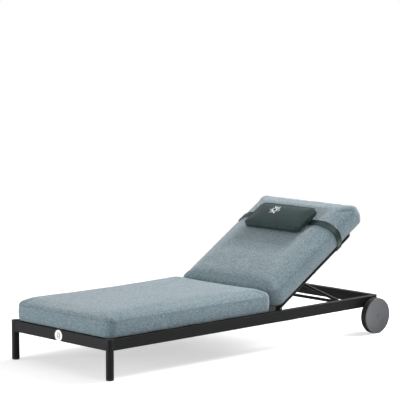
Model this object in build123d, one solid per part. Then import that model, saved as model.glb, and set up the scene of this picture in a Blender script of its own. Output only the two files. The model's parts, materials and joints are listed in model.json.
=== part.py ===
from build123d import *
import os
from math import asin, cos, degrees, radians, sin

# A reclining sun lounger on two wheels. +X is across the width, +Y runs from the foot end to the
# head end, +Z is up. The origin is on the ground, under the middle of the whole object.
# Lengths are millimetres. Heights are above the ground; "along" is measured from the foot rail.

# ---- driving dimensions -------------------------------------------------------------------
frame_length = 2000.0
frame_width = 782.0
rail_top = 206.0
rail_height = 56.0
rail_thickness = 34.0
rail_wall = 2.5
corner_radius = 38.0

leg_diameter = 40.0
leg_wall = 2.5
leg_proud = 3.0             # the round legs stand this far out of the rail faces
leg_cap_height = 3.0
glide_height = 10.0
stub_bottom = 70.0          # the head-end stub legs stop this far above the ground

wheel_radius = 100.0
wheel_width = 40.0
wheel_gap = 8.0             # between a wheel and the side rail
axle_along = 1933.0
axle_diameter = 16.0
running_clearance = 0.08    # radial, for every turning fit

slat_count = 5
slat_width = 60.0
slat_thickness = 12.0
ledge_width = 25.0
ledge_thickness = 6.0

recline_angle = 32.0        # the backrest's angle above the horizontal as modelled
recline_lowest = 0.0
recline_highest = 50.0
tube_foot_along = 1232.0    # where the backrest tubes' centre line starts, at tube_foot_height
tube_foot_height = 204.0
tube_diameter = 20.0
tube_wall = 2.0
side_tube_offset = 340.0    # from the centre plane to each side tube's centre line
loop_top = 682.0            # up the backrest: centre of the top cross tube
loop_bend = 35.0
loop_straight = 8.0         # of straight tube before each top bend
bottom_tube_at = 36.0       # up the backrest: centre of the bottom cross tube
crossbar_at = 336.0         # up the backrest: centre of the bar that carries the prop
crossbar_out = -5.0         # and how far it lies off the side tubes' centre plane
hinge_at = 12.0             # up the backrest: the hinge pins
pin_diameter = 10.0

prop_rod_diameter = 18.0
prop_foot_along = 1752.0    # where the prop's foot rod lies, as modelled
prop_foot_height = 182.0
prop_half_width = 330.0     # from the centre plane to where the prop's legs meet the foot rod
prop_apex_half_width = 18.0
prop_leg_offset = 17.0      # the legs start this far off the pivot, so they clear the strap when flat
glide_radius = 13.0
rest_angles = (0.0, 12.0, 22.0, 32.0, 41.0, 50.0)

cushion_half_width = 374.0
cushion_corner = 50.0
cushion_shoulder = 48.0      # rounding of both cushions' upper edges
cushion_clearance = 0.3
seat_cushion_front = 12.0
seat_cushion_rear = 1152.0
seat_cushion_thickness = 120.0
back_cushion_bottom = 7.0   # up the backrest
back_cushion_top = 798.0
back_cushion_thickness = 127.0

pillow_half_width = 206.0
pillow_low = 452.0
pillow_high = 645.0
pillow_thickness = 51.0
strap_at = 566.0            # up the backrest: the strap's centre line
strap_width = 38.0
strap_thickness = 2.5

badge_radius = 29.0
badge_thickness = 2.4

# ---- values worked out from them ----------------------------------------------------------
rail_bottom = rail_top - rail_height
rail_middle = (rail_top + rail_bottom) / 2
half_width = frame_width / 2
rail_inner = half_width - rail_thickness
leg_radius = leg_diameter / 2
leg_offset = half_width + leg_proud - leg_radius
leg_along = leg_radius - leg_proud
wheel_inner = half_width + wheel_gap
wheel_outer = wheel_inner + wheel_width
tube_radius = tube_diameter / 2
prop_radius = prop_rod_diameter / 2
pin_radius = pin_diameter / 2
axle_radius = axle_diameter / 2
cushion_base = tube_radius + 1.3     # the back cushion's underside, off the tubes' centre plane
back_cushion_face = cushion_base + back_cushion_thickness
stub_inset = corner_radius - (corner_radius - leg_radius) / 2 ** 0.5
stub_offset = half_width - stub_inset
stub_along = frame_length - stub_inset

# the whole object runs from the foot legs to the wheels, so this puts the origin half way
foot_end = -leg_proud
head_end = axle_along + wheel_radius
middle_along = (foot_end + head_end) / 2

sides = {"left": -1, "right": 1}
parts = {}


def at(along):
    """The Y coordinate of a place given along the frame."""
    return along - middle_along


def span_box(x, y, z):
    """A box between three pairs of limits."""
    size = [high - low for low, high in (x, y, z)]
    centre = [(high + low) / 2 for low, high in (x, y, z)]
    return Pos(*centre) * Box(*size)


def ordered(a, b):
    """Two limits, the lower one first."""
    return (min(a, b), max(a, b))


def rod(start, end, radius):
    """A solid cylinder between two points."""
    direction = Vector(*end) - Vector(*start)
    plane = Plane(origin=start, z_dir=direction)
    return plane.location * Cylinder(radius, direction.length, align=(Align.CENTER, Align.CENTER, Align.MIN))


def pipe(start, end, radius, wall):
    """A round tube between two points."""
    return rod(start, end, radius) - rod(start, end, radius - wall)


def cross_rod(x_from, x_to, along, height, radius):
    """A solid cylinder along X."""
    return rod((x_from, at(along), height), (x_to, at(along), height), radius)


def post(x, along, bottom, top, radius):
    """A solid upright cylinder."""
    return rod((x, at(along), bottom), (x, at(along), top), radius)


def rounded(shape, edges, radius):
    return fillet(edges, radius) if radius > 0 else shape


# The backrest's own frame: x across, y up the backrest, z out of its face.
back_plane = Plane(
    origin=(0, at(tube_foot_along), tube_foot_height),
    x_dir=(1, 0, 0),
    z_dir=(0, -sin(radians(recline_angle)), cos(radians(recline_angle))),
)


def on_back(shape):
    """Places a shape that was made in the backrest's own frame."""
    return back_plane.location * shape


def back_point(x, up, out):
    point = back_plane.from_local_coords(Vector(x, up, out))
    return (point.X, point.Y, point.Z)


# ---- chassis ------------------------------------------------------------------------------
rail_z = (rail_bottom, rail_top)
inner_rail_z = (rail_bottom + rail_wall, rail_top - rail_wall)
side_rail_end = frame_length - corner_radius
foot_legs = {
    side: post(sign * leg_offset, leg_along, glide_height, rail_top, leg_radius)
    for side, sign in sides.items()
}
foot_rail_envelope = span_box((-leg_offset, leg_offset), (at(0), at(rail_thickness)), rail_z)


def foot_rail():
    hollow = span_box(
        (-leg_offset, leg_offset), (at(rail_wall), at(rail_thickness - rail_wall)), inner_rail_z
    )
    return foot_rail_envelope - hollow - foot_legs["left"] - foot_legs["right"]


def side_rail(sign, leg):
    x_out = ordered(sign * rail_inner, sign * half_width)
    x_in = ordered(sign * (rail_inner + rail_wall), sign * (half_width - rail_wall))
    rail = span_box(x_out, (at(leg_along), at(side_rail_end)), rail_z)
    hollow = span_box(x_in, (at(leg_along), at(side_rail_end)), inner_rail_z)
    return rail - hollow - leg - foot_rail_envelope


def head_rail():
    x = (-(half_width - corner_radius), half_width - corner_radius)
    y_out = (at(frame_length - rail_thickness), at(frame_length))
    y_in = (at(frame_length - rail_thickness + rail_wall), at(frame_length - rail_wall))
    return span_box(x, y_out, rail_z) - span_box(x, y_in, inner_rail_z)


def head_corner(sign):
    """A quarter bend of the rail's own section."""
    centre_x = sign * (half_width - corner_radius)
    inner_radius = corner_radius - rail_thickness

    def ring(outer, inner, z):
        wide = post(centre_x, side_rail_end, z[0], z[1], outer)
        return wide - post(centre_x, side_rail_end, z[0], z[1], inner)

    quarter = span_box(
        ordered(centre_x, centre_x + sign * corner_radius),
        (at(side_rail_end), at(frame_length)),
        rail_z,
    )
    shell = ring(corner_radius, inner_radius, rail_z)
    hollow = ring(corner_radius - rail_wall, inner_radius + rail_wall, inner_rail_z)
    return (shell - hollow) & quarter


def foot_leg(sign, solid):
    bore = post(sign * leg_offset, leg_along, glide_height, rail_top, leg_radius - leg_wall)
    return solid - bore


def leg_caps():
    """A thin round plate on each foot leg, with a spigot inside the tube."""
    caps = []
    for sign in sides.values():
        x = sign * leg_offset
        plate = post(x, leg_along, rail_top, rail_top + leg_cap_height, leg_radius + 0.5)
        spigot = post(x, leg_along, rail_top - 12, rail_top, leg_radius - leg_wall)
        caps.append(chamfer(plate.edges().group_by(Axis.Z)[-1], 0.6) + spigot)
    return Compound(children=caps)


def foot_glides():
    """A chamfered plastic foot in the bottom of each foot leg."""
    glides = []
    for sign in sides.values():
        x = sign * leg_offset
        foot = post(x, leg_along, 0, glide_height, leg_radius)
        foot = chamfer(foot.edges().group_by(Axis.Z)[0], 3)
        spigot = post(x, leg_along, glide_height, glide_height + 16, leg_radius - leg_wall)
        glides.append(foot + spigot)
    return Compound(children=glides)


def stub_leg(sign):
    """A short leg under each head corner, closed at the bottom."""
    outside = post(sign * stub_offset, stub_along, stub_bottom, rail_bottom, leg_radius)
    inside = post(sign * stub_offset, stub_along, stub_bottom + 3, rail_bottom, leg_radius - leg_wall)
    return outside - inside


arm_inner = stub_offset - 8
arm_outer = stub_offset + 8
arm_half_height = 15.0


def axle_arm(sign):
    """A short bar welded to the stub leg, which carries the wheel's axle."""
    x = ordered(sign * arm_inner, sign * arm_outer)
    bar = span_box(
        x,
        (at(axle_along), at(stub_along - 5)),
        (wheel_radius - arm_half_height, wheel_radius + arm_half_height),
    )
    nose = cross_rod(x[0], x[1], axle_along, wheel_radius, arm_half_height)
    leg = post(sign * stub_offset, stub_along, stub_bottom, rail_bottom, leg_radius)
    bore = cross_rod(x[0], x[1], axle_along, wheel_radius, axle_radius)
    return bar + nose - leg - bore


parts["rail_foot"] = foot_rail()
parts["rail_head"] = head_rail()
for side, sign in sides.items():
    parts[f"rail_{side}"] = side_rail(sign, foot_legs[side])
    parts[f"head_corner_{side}"] = head_corner(sign)
    parts[f"foot_leg_{side}"] = foot_leg(sign, foot_legs[side])
    parts[f"stub_leg_{side}"] = stub_leg(sign)
    parts[f"axle_arm_{side}"] = axle_arm(sign)
parts["leg_caps"] = leg_caps()
parts["foot_glides"] = foot_glides()


# ---- wheels and axles ---------------------------------------------------------------------
hub_bore_end = wheel_inner + 25     # the hub's bore ends here, in the pocket for the washer
pocket_radius = 16.0
disc_thickness = 6.0
tread_inner_radius = 88.0
tread_from = wheel_inner + 3
tread_to = wheel_outer - 9


def wheel_rod(sign, x_from, x_to, radius):
    """A cylinder on a wheel's axis, between two distances from the centre plane."""
    return cross_rod(sign * x_from, sign * x_to, axle_along, wheel_radius, radius)


def wheel_hub(sign):
    """The wheel's body: an inner flange, a drum for the tyre, a groove, and a bored boss."""
    flange = wheel_rod(sign, wheel_inner, tread_from, 96)
    drum = wheel_rod(sign, tread_from, tread_to, tread_inner_radius)
    groove_floor = wheel_rod(sign, tread_to, wheel_outer - disc_thickness, 94)
    bore = wheel_rod(sign, wheel_inner, hub_bore_end, axle_radius + running_clearance)
    pocket = wheel_rod(sign, hub_bore_end, wheel_outer - disc_thickness, pocket_radius)
    return flange + drum + groove_floor - bore - pocket


def wheel_disc(sign):
    """The metal disc over the wheel's outer face, with a small hole in its centre."""
    disc = wheel_rod(sign, wheel_outer - disc_thickness, wheel_outer, 98.5)
    outer_edge = disc.edges().sort_by(Axis.X)[-1 if sign > 0 else 0]
    disc = fillet(outer_edge, 1.8)
    hole = wheel_rod(sign, wheel_outer - disc_thickness, wheel_outer, 4.5)
    return disc - hole


def tyre(sign):
    ring = wheel_rod(sign, tread_from, tread_to, wheel_radius)
    rims = ring.edges().filter_by(GeomType.CIRCLE)
    ring = fillet(rims, 4)
    return ring - wheel_rod(sign, tread_from, tread_to, tread_inner_radius)


axle_end = hub_bore_end + 0.3


def axle(sign):
    """A shoulder bolt: a flange inside the arm, a collar between arm and wheel, and the journal."""
    flange = wheel_rod(sign, arm_inner - 4, arm_inner, 12)
    shank = wheel_rod(sign, arm_inner, axle_end, axle_radius)
    collar = wheel_rod(sign, arm_outer, wheel_inner - 0.5, 13)
    thread_hole = wheel_rod(sign, axle_end - 12, axle_end, 3)
    return flange + shank + collar - thread_hole


def axle_retainers():
    """The washer and countersunk-hex screw that keep each wheel on its axle."""
    retainers = []
    for sign in sides.values():
        washer = wheel_rod(sign, axle_end, axle_end + 2.5, 13.5)
        head = wheel_rod(sign, axle_end + 2.5, axle_end + 6.5, 6.5)
        shank = wheel_rod(sign, axle_end - 12, axle_end, 3)
        socket = wheel_rod(sign, axle_end + 4, axle_end + 6.5, 2.5)
        retainers.append(washer + head + shank - socket)
    return Compound(children=retainers)


for side, sign in sides.items():
    parts[f"wheel_hub_{side}"] = wheel_hub(sign)
    parts[f"wheel_disc_{side}"] = wheel_disc(sign)
    parts[f"tyre_{side}"] = tyre(sign)
    parts[f"axle_{side}"] = axle(sign)
parts["axle_retainers"] = axle_retainers()


# ---- seat deck ----------------------------------------------------------------------------
slat_first = 110.0
slat_last = 1090.0
slat_pitch = (slat_last - slat_first) / (slat_count - 1)
slat_places = [slat_first + slat_pitch * i for i in range(slat_count)]
slat_half_length = rail_inner - 0.3
screw_offset = rail_inner - ledge_width / 2
ledge_top = rail_top - slat_thickness
ledge_bottom = ledge_top - ledge_thickness


def slat_screw(x, along):
    head = post(x, along, ledge_bottom - 3, ledge_bottom, 4.5)
    return head + post(x, along, ledge_bottom, rail_top - 3, 2.5)


screws = [slat_screw(sign * screw_offset, along) for along in slat_places for sign in sides.values()]


def screws_cut_from(shape):
    for screw in screws:
        shape = shape - screw
    return shape


def slat_ledge(sign):
    """A flat bar along each side rail, which the slats lie on."""
    x = ordered(sign * (rail_inner - ledge_width), sign * rail_inner)
    return screws_cut_from(span_box(x, (at(50), at(seat_cushion_rear)), (ledge_bottom, ledge_top)))


def seat_slat(along):
    y = (at(along - slat_width / 2), at(along + slat_width / 2))
    board = span_box((-slat_half_length, slat_half_length), y, (ledge_top, rail_top))
    board = fillet(board.edges().filter_by(Axis.X), 2)
    return screws_cut_from(board)


for side, sign in sides.items():
    parts[f"slat_ledge_{side}"] = slat_ledge(sign)
for number, along in enumerate(slat_places, start=1):
    parts[f"seat_slat_{number}"] = seat_slat(along)
parts["slat_screws"] = Compound(children=screws)


# ---- backrest frame -----------------------------------------------------------------------
side_tube_end = loop_top - loop_bend - loop_straight
hinge_point = back_point(0, hinge_at, 0)
hinge_along = hinge_point[1] + middle_along
hinge_height = hinge_point[2]


def side_tube(sign):
    """A straight tube from the hinge to the top bend, bored for the hinge pin."""
    x = sign * side_tube_offset
    tube = pipe((x, -6, 0), (x, side_tube_end, 0), tube_radius, tube_wall)
    pin_hole = rod((x - 15, hinge_at, 0), (x + 15, hinge_at, 0), pin_radius + running_clearance)
    return on_back(tube - pin_hole)


def top_tube():
    """The top cross tube with its two bends."""
    x = side_tube_offset
    path = FilletPolyline(
        (-x, side_tube_end, 0), (-x, loop_top, 0), (x, loop_top, 0), (x, side_tube_end, 0), radius=loop_bend
    )
    start = Plane(origin=(-x, side_tube_end, 0), z_dir=(0, 1, 0))
    ring = start * (Circle(tube_radius) - Circle(tube_radius - tube_wall))
    return on_back(sweep(ring, path=path))


def straight_bar(up, out):
    """A tube across the backrest, coped to the side tubes."""
    x = side_tube_offset
    bar = pipe((-x, up, out), (x, up, out), tube_radius, tube_wall)
    for sign in sides.values():
        bar = bar - rod((sign * x, up - 40, 0), (sign * x, up + 40, 0), tube_radius)
    return on_back(bar)


def hinge_bracket(sign):
    """A plate on the side rail's inner face that carries the hinge pin."""
    x = ordered(sign * (rail_inner - 6), sign * rail_inner)
    plate = span_box(x, (at(hinge_along - 22), at(hinge_along + 22)), (rail_bottom + 8, rail_top - 6))
    neck = span_box(x, (at(hinge_along - 10), at(hinge_along + 10)), (rail_top - 6, hinge_height))
    eye = cross_rod(x[0], x[1], hinge_along, hinge_height, 10)
    pin = cross_rod(x[0], x[1], hinge_along, hinge_height, pin_radius)
    return plate + neck + eye - pin


def hinge_pins():
    """The headed pins that the side tubes turn on."""
    pins = []
    inner = side_tube_offset - tube_radius - 3
    for sign in sides.values():
        shank = cross_rod(sign * inner, sign * rail_inner, hinge_along, hinge_height, pin_radius)
        head = cross_rod(sign * (inner - 5), sign * inner, hinge_along, hinge_height, 9)
        pins.append(shank + head)
    return Compound(children=pins)


for side, sign in sides.items():
    parts[f"back_side_tube_{side}"] = side_tube(sign)
    parts[f"hinge_bracket_{side}"] = hinge_bracket(sign)
parts["back_top_tube"] = top_tube()
parts["back_bottom_tube"] = straight_bar(bottom_tube_at, 0)
parts["back_crossbar"] = straight_bar(crossbar_at, crossbar_out)
parts["hinge_pins"] = hinge_pins()


# ---- prop ---------------------------------------------------------------------------------
sleeve_half_length = 32.0
sleeve_radius = tube_radius + 4
apex = back_point(0, crossbar_at, crossbar_out)
foot = (0, at(prop_foot_along), prop_foot_height)
prop_arm = ((foot[1] - apex[1]) ** 2 + (foot[2] - apex[2]) ** 2) ** 0.5
foot_drop = hinge_height + crossbar_out - prop_foot_height
prop_slope = degrees(asin((apex[2] - foot[2]) / prop_arm))
flat_slope = degrees(asin(foot_drop / prop_arm))
leg_start = (
    apex[1] - prop_leg_offset * sin(radians(prop_slope)),
    apex[2] - prop_leg_offset * cos(radians(prop_slope)),
)
# With the backrest flat the foot rod is at the same height as it is as modelled.
slope_ratio = (prop_slope - flat_slope) / recline_angle
coupling_ratio = -(1 + slope_ratio)


def foot_rod_place(angle):
    """(along, height) of the foot rod's centre with the backrest at an angle."""
    slope = radians(prop_slope + slope_ratio * (angle - recline_angle))
    turn = radians(angle)
    up = crossbar_at - hinge_at
    along = hinge_along + up * cos(turn) - crossbar_out * sin(turn) + prop_arm * cos(slope)
    height = hinge_height + up * sin(turn) + crossbar_out * cos(turn) - prop_arm * sin(slope)
    return along, height


def crossbar_rod(x_from, x_to, radius):
    """A solid cylinder on the crossbar's centre line."""
    return on_back(rod((x_from, crossbar_at, crossbar_out), (x_to, crossbar_at, crossbar_out), radius))


def prop_leg(sign):
    """One leg of the triangular prop, coped to the sleeve and to the foot rod."""
    start = (sign * prop_apex_half_width, leg_start[0], leg_start[1])
    end = (sign * prop_half_width, foot[1], foot[2])
    leg = pipe(start, end, prop_radius, tube_wall)
    leg = leg - crossbar_rod(-60, 60, sleeve_radius)
    return leg - rod((-380, foot[1], foot[2]), (380, foot[1], foot[2]), prop_radius)


def largest(shape):
    """The biggest solid of a shape, without the slivers that coping leaves behind."""
    return shape.solids().sort_by(SortBy.VOLUME)[-1]


foot_rod_half_length = rail_inner - 4.0
glide_from = foot_rod_half_length - 15


def foot_rod():
    return pipe(
        (-foot_rod_half_length, foot[1], foot[2]),
        (foot_rod_half_length, foot[1], foot[2]),
        prop_radius,
        tube_wall,
    )


def prop_glides():
    """A nylon sleeve on each end of the foot rod, which lies on the notched rack."""
    sleeves = []
    for sign in sides.values():
        start = (sign * glide_from, foot[1], foot[2])
        end = (sign * foot_rod_half_length, foot[1], foot[2])
        sleeves.append(rod(start, end, glide_radius) - rod(start, end, prop_radius))
    return Compound(children=sleeves)


def stop_collars():
    """Two rings on the crossbar that keep the sleeve in the middle."""
    collars = []
    for sign in sides.values():
        start = sign * (sleeve_half_length + 0.5)
        end = sign * (sleeve_half_length + 10.5)
        collars.append(crossbar_rod(start, end, sleeve_radius) - crossbar_rod(start, end, tube_radius))
    return Compound(children=collars)


parts["prop_sleeve"] = crossbar_rod(-sleeve_half_length, sleeve_half_length, sleeve_radius) - crossbar_rod(
    -sleeve_half_length, sleeve_half_length, tube_radius + running_clearance
)
for side, sign in sides.items():
    parts[f"prop_leg_{side}"] = largest(prop_leg(sign))
parts["prop_foot_rod"] = foot_rod()
parts["prop_glides"] = prop_glides()
parts["stop_collars"] = stop_collars()


# ---- notched racks ------------------------------------------------------------------------
rack_thickness = 15.0
rack_bottom = rail_bottom + 3
rack_clearance = 0.8        # between a glide and the crests, over the whole travel
notch_depth = 3.2
rack_screw_height = rail_bottom + 9


def rack_outline():
    """The rack's side: its upper edge keeps below the path that the prop's glides follow."""
    steps = 10
    span = recline_highest - recline_lowest
    places = [foot_rod_place(recline_highest - span * i / steps) for i in range(steps + 1)]
    crest = [(along, height - glide_radius - rack_clearance) for along, height in places]
    first = (crest[0][0] - 24, crest[0][1])
    last = (crest[-1][0] + 24, crest[-1][1])
    bottom = [(last[0], rack_bottom), (first[0], rack_bottom)]
    return [first, *crest, last, *bottom]


def rack_screw(sign, along):
    inner = rail_inner - rack_thickness
    head = cross_rod(sign * (inner - 2.5), sign * inner, along, rack_screw_height, 4)
    return head + cross_rod(sign * inner, sign * rail_inner, along, rack_screw_height, 2)


rack_low, rack_high = foot_rod_place(recline_highest)[0], foot_rod_place(recline_lowest)[0]
rack_screw_places = [rack_low, (rack_low + rack_high) / 2, rack_high]
rack_screws = [rack_screw(sign, along) for along in rack_screw_places for sign in sides.values()]


def notch_rack(sign):
    face = make_face(Polyline([(at(along), height) for along, height in rack_outline()], close=True))
    start = sign * (rail_inner - rack_thickness)
    upright = Plane(origin=(min(start, sign * rail_inner), 0, 0), x_dir=(0, 1, 0), z_dir=(1, 0, 0))
    rack = extrude(upright * face, rack_thickness)
    for angle in rest_angles:
        along, height = foot_rod_place(angle)
        radius = glide_radius + rack_clearance
        rack = rack - cross_rod(start, sign * rail_inner, along, height - notch_depth, radius)
    for screw in rack_screws:
        rack = rack - screw
    return rack


for side, sign in sides.items():
    parts[f"notch_rack_{side}"] = notch_rack(sign)
parts["rack_screws"] = Compound(children=rack_screws)


# ---- badge and soft parts -----------------------------------------------------------------
def foot_badge():
    """A plain round medallion with a raised rim, on the foot rail."""
    def disc(radius, depth):
        return rod((0, at(0), rail_middle), (0, at(0) - depth, rail_middle), radius)

    rim = disc(badge_radius, badge_thickness) - disc(badge_radius - 3, badge_thickness)
    return disc(badge_radius - 3, badge_thickness - 1) + rim


def seat_cushion():
    y = (at(seat_cushion_front), at(seat_cushion_rear))
    z = (rail_top + cushion_clearance, rail_top + cushion_clearance + seat_cushion_thickness)
    pad = span_box((-cushion_half_width, cushion_half_width), y, z)
    pad = fillet(pad.edges().filter_by(Axis.Z), cushion_corner)
    pad = fillet(pad.edges().group_by(Axis.Z)[-1], cushion_shoulder)
    return fillet(pad.edges().group_by(Axis.Z)[0], 20)


def back_cushion():
    pad = span_box(
        (-cushion_half_width, cushion_half_width),
        (back_cushion_bottom, back_cushion_top),
        (cushion_base, back_cushion_face),
    )
    pad = fillet(pad.edges().filter_by(Axis.Z), cushion_corner)
    pad = fillet(pad.edges().group_by(Axis.Z)[-1], cushion_shoulder)
    return on_back(fillet(pad.edges().group_by(Axis.Z)[0], 14))


strap_out = back_cushion_face + cushion_clearance
strap_side = cushion_half_width + cushion_clearance
strap_up = (strap_at - strap_width / 2, strap_at + strap_width / 2)
strap_tube_side = side_tube_offset + tube_radius + cushion_clearance
strap_back_out = -tube_radius - cushion_clearance


def strap_front():
    """The strap's run over the cushion's face, under the pillow."""
    return on_back(span_box((-strap_side, strap_side), strap_up, (strap_out, strap_out + strap_thickness)))


def strap_sides():
    """Each side's run: down the cushion's edge, in under it, and round the side tube."""
    runs = []
    under = cushion_base - cushion_clearance
    for sign in sides.values():
        edge = span_box(
            ordered(sign * strap_side, sign * (strap_side + strap_thickness)),
            strap_up,
            (under - strap_thickness, strap_out + strap_thickness),
        )
        inward = span_box(
            ordered(sign * strap_tube_side, sign * strap_side), strap_up, (under - strap_thickness, under)
        )
        down = span_box(
            ordered(sign * strap_tube_side, sign * (strap_tube_side + strap_thickness)),
            strap_up,
            (strap_back_out - strap_thickness, under - strap_thickness),
        )
        runs.append(edge + inward + down)
    return on_back(Compound(children=runs))


def strap_back():
    """The strap's run across the back, outside the tubes."""
    z = (strap_back_out - strap_thickness, strap_back_out)
    return on_back(span_box((-strap_tube_side, strap_tube_side), strap_up, z))


def strap_buckle():
    """A flat slider frame in the middle of the strap's back run."""
    x = (-22, 22)
    outer = strap_back_out - strap_thickness
    frame = span_box(x, (strap_up[0] - 5, strap_up[1] + 5), (outer - 3, outer))
    window = span_box((x[0] + 6, x[1] - 6), strap_up, (outer - 3, outer))
    bar = span_box((-3, 3), strap_up, (outer - 3, outer))
    return on_back(fillet(frame.edges().filter_by(Axis.Z), 4) - window + bar)


def head_pillow():
    out = strap_out + strap_thickness + cushion_clearance
    pad = span_box(
        (-pillow_half_width, pillow_half_width), (pillow_low, pillow_high), (out, out + pillow_thickness)
    )
    pad = fillet(pad.edges().filter_by(Axis.Z), 26)
    pad = fillet(pad.edges().group_by(Axis.Z)[-1], 14)
    return on_back(fillet(pad.edges().group_by(Axis.Z)[0], 22))


parts["foot_badge"] = foot_badge()
parts["seat_cushion"] = seat_cushion()
parts["back_cushion"] = back_cushion()
parts["strap_front"] = strap_front()
parts["strap_sides"] = strap_sides()
parts["strap_back"] = strap_back()
parts["strap_buckle"] = strap_buckle()
parts["head_pillow"] = head_pillow()

os.makedirs("parts", exist_ok=True)
for name, shape in parts.items():
    export_step(shape, f"parts/{name}.step")
print(f"{len(parts)} nodes")
print(f"hinge axis: y {at(hinge_along):.3f}, z {hinge_height:.3f}")
print(f"prop pivot: y {apex[1]:.3f}, z {apex[2]:.3f}")
print(f"prop coupling ratio {coupling_ratio:.4f}")
for angle in rest_angles:
    along, height = foot_rod_place(angle)
    print(f"backrest at {angle:4.0f} degrees: foot rod at y {at(along):.1f}, z {height:.1f}")
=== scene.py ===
# The looks of a reclining sun lounger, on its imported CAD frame. Lengths are metres, in the row frame:
# X across the width, Y from the foot end to the head end, Z up. A place on the backrest is given as
# (x, up, out): across, up the backrest from its foot, and out of its face.
import json
import math

import bpy
import numpy as np
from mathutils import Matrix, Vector, noise
from mathutils.bvhtree import BVHTree


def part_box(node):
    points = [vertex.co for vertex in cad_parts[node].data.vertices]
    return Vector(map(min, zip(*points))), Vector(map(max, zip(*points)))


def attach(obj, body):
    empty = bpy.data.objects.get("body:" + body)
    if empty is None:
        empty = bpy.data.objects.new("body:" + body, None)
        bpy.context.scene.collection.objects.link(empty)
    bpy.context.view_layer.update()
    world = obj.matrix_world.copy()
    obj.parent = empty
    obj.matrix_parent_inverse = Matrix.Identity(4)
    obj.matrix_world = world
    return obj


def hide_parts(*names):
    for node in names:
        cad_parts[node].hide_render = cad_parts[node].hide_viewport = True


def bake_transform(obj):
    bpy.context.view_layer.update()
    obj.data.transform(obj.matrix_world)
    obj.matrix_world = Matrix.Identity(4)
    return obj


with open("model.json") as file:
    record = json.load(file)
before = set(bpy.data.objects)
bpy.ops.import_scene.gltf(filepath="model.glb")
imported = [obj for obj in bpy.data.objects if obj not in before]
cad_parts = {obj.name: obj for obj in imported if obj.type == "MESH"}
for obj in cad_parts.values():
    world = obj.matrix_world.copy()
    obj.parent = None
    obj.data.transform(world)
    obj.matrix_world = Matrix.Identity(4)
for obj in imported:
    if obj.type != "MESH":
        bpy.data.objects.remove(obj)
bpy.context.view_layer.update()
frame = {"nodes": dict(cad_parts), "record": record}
record = frame["record"]
joints = {joint["name"]: joint for joint in record["behaviour"]["joints"]}

# ---- driving dimensions -------------------------------------------------------------------
SEAT_LOW, SEAT_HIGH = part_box("seat_cushion")
SEAT_BULGE = 0.014            # the seat cushion's rear end stands this far out of its CAD solid
SEAT_CORNER = 0.050
SEAT_SEAM = (0.007, 0.084)    # heights of the two seams above the seat cushion's underside
BACK_HALF_WIDTH = 0.373
BACK_ENDS = (-0.004, 0.798)
BACK_CORNER = 0.050
BACK_BASE = 0.0113
BACK_SEAM = (0.022, 0.103)
PILLOW_HALF_WIDTH = 0.208
PILLOW_ASIDE = -0.004         # its middle, from the cushion's middle
PILLOW_ENDS = (0.455, 0.647)
PILLOW_CORNER = 0.024
PILLOW_BASE = 0.1415
PILLOW_SEAM = (0.157, 0.181)
PILLOW_TRAVEL = joints["headrest_slide"]["range_m"]    # down and up the backrest
STRAP_WIDTH = 0.042
STRAP_THICKNESS = 0.0024
STRAP_CLEARANCE = 0.0022      # over the cushion, wherever the strap slides
TUBE_CLEARANCE = 0.0008       # between the strap and the side tubes
STRAP_FRONT_AT = 0.571        # up the backrest, where the strap lies on the cushion's face
STRAP_BACK_AT = 0.556         # and on its way across the back
HINGE_AT = 0.012              # up the backrest
TUBE_OFFSET = 0.340
TUBE_RADIUS = 0.010
TYRE_RADIUS = 0.100
TYRE_SEAT_RADIUS = 0.088      # where the tyre sits on its hub
SEAM_RADIUS = 0.0011
PIPING_RADIUS = 0.0021
CELL = 0.0125                 # of the pads' meshes, before their subdivision
SWELLING_FRAMES = 20          # of cloth simulation for each pad

HINGE = Vector(joints["backrest_recline"]["pos_m"])
UP = Vector(joints["headrest_slide"]["axis"]).normalized()
OUT = Vector((0, -UP.z, UP.y))


def back_point(x, up, out):
    """A place on the backrest, in the row frame."""
    return HINGE + UP * (up - HINGE_AT) + OUT * out + Vector((x, 0, 0))


def back_points(points):
    """Many places on the backrest at once."""
    points = np.asarray(points, float)
    along = np.outer(points[:, 1] - HINGE_AT, np.array(UP)) + np.outer(points[:, 2], np.array(OUT))
    along[:, 0] += points[:, 0]
    return along + np.array(HINGE)


# ---- mesh tools ---------------------------------------------------------------------------
def new_object(name, points, faces, smooth=True):
    mesh = bpy.data.meshes.new(name)
    mesh.from_pydata([tuple(p) for p in points], [], faces)
    mesh.update()
    mesh.polygons.foreach_set("use_smooth", [smooth] * len(mesh.polygons))
    obj = bpy.data.objects.new(name, mesh)
    bpy.context.scene.collection.objects.link(obj)
    return obj


def coordinates(mesh):
    flat = np.empty(len(mesh.vertices) * 3)
    mesh.vertices.foreach_get("co", flat)
    return flat.reshape(-1, 3)


def set_coordinates(mesh, points):
    mesh.vertices.foreach_set("co", np.asarray(points, float).ravel())
    mesh.update()


def normals(mesh):
    flat = np.empty(len(mesh.vertices) * 3)
    mesh.vertices.foreach_get("normal", flat)
    return flat.reshape(-1, 3)


def apply_modifiers(obj):
    """Swaps the object's mesh for the one its modifiers make."""
    evaluated = obj.evaluated_get(bpy.context.evaluated_depsgraph_get())
    mesh = bpy.data.meshes.new_from_object(evaluated)
    obj.modifiers.clear()
    obj.data = mesh


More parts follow.
